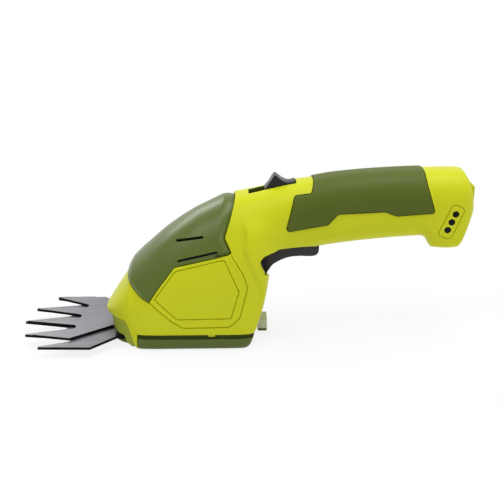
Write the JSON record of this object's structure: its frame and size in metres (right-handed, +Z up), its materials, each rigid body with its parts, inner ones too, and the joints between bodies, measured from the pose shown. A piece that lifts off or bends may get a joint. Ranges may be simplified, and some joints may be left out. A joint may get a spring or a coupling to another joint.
{
  "type": "cordless grass shears",
  "caption": "Hand-held cordless grass shears: a rounded body with a motor hood and base cover, a toothed cutter swinging over a fixed comb, and a handle with trigger and lock-out slider.",
  "frame": {"origin": "on the ground under the middle of the overall box", "axes": "+X from the blade tips towards the rear of the handle, +Y to the side away from the indicator, +Z up"},
  "size_m": [0.318, 0.088, 0.122],
  "materials": {
    "body_plastic": "satin moulded lime green",
    "hood_plastic": "satin moulded olive green",
    "grip_rubber": "fine matt olive soft grip",
    "dark_plastic": "matt black moulding",
    "trigger_plastic": "satin dark grey moulding",
    "slider_plastic": "satin black moulding",
    "blade_steel": "brushed along the teeth",
    "plain_steel": "bright zinc plate",
    "spring_steel": "drawn spring wire",
    "yoke_steel": "black oxide",
    "magnet": "dark ferrite",
    "winding": "enamelled copper wire",
    "brass": "plain brass",
    "white_plastic": "natural moulding",
    "cell_wrap": "blue shrink wrap over a metal can",
    "board": "green lacquered board",
    "lens": "dark clear lens",
    "lead": "black insulated wire"
  },
  "bodies": {
    "housing": {"left_housing": "body_plastic", "right_housing": "body_plastic", "motor_hood": "hood_plastic", "left_grip": "grip_rubber", "right_grip": "grip_rubber", "housing_screws": "plain_steel", "gear_frame": "dark_plastic", "motor_can": "plain_steel", "motor_magnets": "magnet", "motor_end_bell": "dark_plastic", "motor_bushes": "brass", "motor_terminals": "brass", "motor_screws": "plain_steel", "crank_axle": "plain_steel", "crank_clip": "plain_steel", "comb_blade": "blade_steel", "blade_carrier": "dark_plastic", "blade_screws": "plain_steel", "pivot_stud": "plain_steel", "pivot_washer": "plain_steel", "pivot_nut": "plain_steel", "trigger_pin": "plain_steel", "trigger_spring": "spring_steel", "trigger_switch": "dark_plastic", "lockout_spring": "spring_steel", "battery_cells": "cell_wrap", "cell_links": "plain_steel", "battery_holder": "dark_plastic", "control_board": "board", "indicator_lamps": "white_plastic", "indicator_plate": "body_plastic", "indicator_lenses": "lens", "button_spring": "spring_steel", "charging_jack": "dark_plastic", "jack_pin": "brass", "motor_leads": "lead", "battery_leads": "lead"},
    "crank": {"crank_gear": "white_plastic"},
    "rotor": {"rotor_shaft": "plain_steel", "armature": "winding", "commutator": "brass", "pinion": "brass"},
    "cutter": {"cutter_blade": "blade_steel", "yoke_plate": "yoke_steel", "yoke_rivets": "plain_steel"},
    "trigger": {"trigger": "trigger_plastic"},
    "plunger": {"switch_plunger": "white_plastic"},
    "slider": {"lockout_slider": "slider_plastic"},
    "button": {"check_button": "body_plastic"},
    "cover": {"base_cover": "hood_plastic", "tab_spring": "spring_steel"},
    "tab": {"release_tab": "hood_plastic"}
  },
  "joints": [
    {"name": "crank_turn", "type": "hinge", "parent": "housing", "child": "crank", "pos_m": [-0.057, 0, 0.0138], "axis": [0, 0, 1], "range_deg": [0, 180]},
    {"name": "motor_spin", "type": "hinge", "parent": "housing", "child": "rotor", "pos_m": [-0.035, 0, 0.0138], "axis": [0, 0, 1], "range_deg": [-720, 0]},
    {"name": "blade_swing", "type": "hinge", "parent": "housing", "child": "cutter", "pos_m": [-0.087, 0, 0.0078], "axis": [0, 0, 1], "range_deg": [0, 12.4]},
    {"name": "trigger_pull", "type": "hinge", "parent": "housing", "child": "trigger", "pos_m": [0.019, 0, 0.06602], "axis": [0, -1, 0], "range_deg": [0, 8], "stiffness_Nm_per_rad": 0.6, "springref_deg": -8.59, "deforming": ["trigger_spring"]},
    {"name": "switch_press", "type": "slide", "parent": "housing", "child": "plunger", "axis": [0, 0, 1], "range_m": [0, 0.00237]},
    {"name": "lockout_slide", "type": "slide", "parent": "housing", "child": "slider", "axis": [-0.977, 0, -0.2131], "range_m": [0, 0.009], "stiffness_N_per_m": 250, "springref_m": -0.004, "deforming": ["lockout_spring"]},
    {"name": "check_press", "type": "slide", "parent": "housing", "child": "button", "axis": [-1, 0, 0], "range_m": [0, 0.0015], "stiffness_N_per_m": 600, "springref_m": -0.001, "deforming": ["button_spring"]},
    {"name": "cover_off", "type": "slide", "parent": "housing", "child": "cover", "axis": [0, 0, -1], "range_m": [0, 0.028]},
    {"name": "tab_press", "type": "slide", "parent": "cover", "child": "tab", "axis": [-1, 0, 0], "range_m": [0, 0.0025], "stiffness_N_per_m": 600, "springref_m": -0.001, "deforming": ["tab_spring"]}
  ],
  "couplings": [
    {"joint": "motor_spin", "follows": "crank_turn", "ratio": -4},
    {"joint": "blade_swing", "follows": "crank_turn", "ratio": 0.068889},
    {"joint": "switch_press", "follows": "trigger_pull", "m_per_rad": 0.016945}
  ]
}
